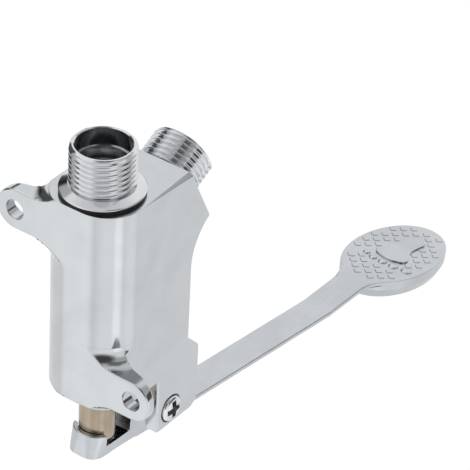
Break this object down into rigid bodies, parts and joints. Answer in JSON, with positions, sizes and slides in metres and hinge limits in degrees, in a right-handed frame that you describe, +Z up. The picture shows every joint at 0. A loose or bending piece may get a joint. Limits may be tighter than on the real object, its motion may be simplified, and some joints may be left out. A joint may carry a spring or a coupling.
{
  "type": "foot_pedal_tap_valve",
  "caption": "Wall-mounted foot pedal tap valve: a chromed body with threaded inlet and outlet, and a long lever with an oval pad that lifts a spring-closed valve",
  "frame": {"origin": "on the wall face, midway between the two wall screw holes", "axes": "+X away from the wall, along the lever; +Z up, along the plunger; +Y completes a right-handed frame"},
  "size_m": [0.2078, 0.0594, 0.1424],
  "materials": {
    "chrome": "soft polished chrome on a casting",
    "polished_chrome": "mirror polished chrome",
    "satin_chrome": "satin chrome",
    "plunger_brass": "drawn brass, dulled",
    "brass": "turned brass",
    "steel": "bright stainless",
    "rubber": "matt black rubber",
    "nylon": "natural nylon"
  },
  "bodies": {
    "valve_body": {"body": "chrome", "valve_seat": "brass", "inlet_nipple": "polished_chrome", "inlet_seal": "rubber", "outlet_nipple": "polished_chrome", "outlet_seal": "rubber", "gland_nut": "brass", "gland_washer": "rubber", "return_spring": "steel", "spring_seat": "brass", "near_thrust_washer": "nylon", "far_thrust_washer": "nylon", "pivot_screw": "polished_chrome"},
    "plunger_stem": {"plunger": "plunger_brass", "upper_o_ring": "rubber", "lower_o_ring": "rubber", "valve_washer": "rubber", "washer_holder": "brass", "lock_nut": "steel"},
    "foot_lever": {"pedal": "satin_chrome", "pivot_bush": "brass"}
  },
  "joints": [
    {"name": "pedal_pivot", "type": "hinge", "parent": "valve_body", "child": "foot_lever", "pos_m": [0.0316, 0, -0.0505], "axis": [0, 1, 0], "range_deg": [0, 10], "stiffness_Nm_per_rad": 1.2, "springref_deg": -34.38},
    {"name": "plunger_slide", "type": "slide", "parent": "valve_body", "child": "plunger_stem", "axis": [0, 0, 1], "range_m": [0, 0.00355], "deforming": ["return_spring"]}
  ],
  "couplings": [
    {"joint": "plunger_slide", "follows": "pedal_pivot", "m_per_rad": 0.0201}
  ]
}
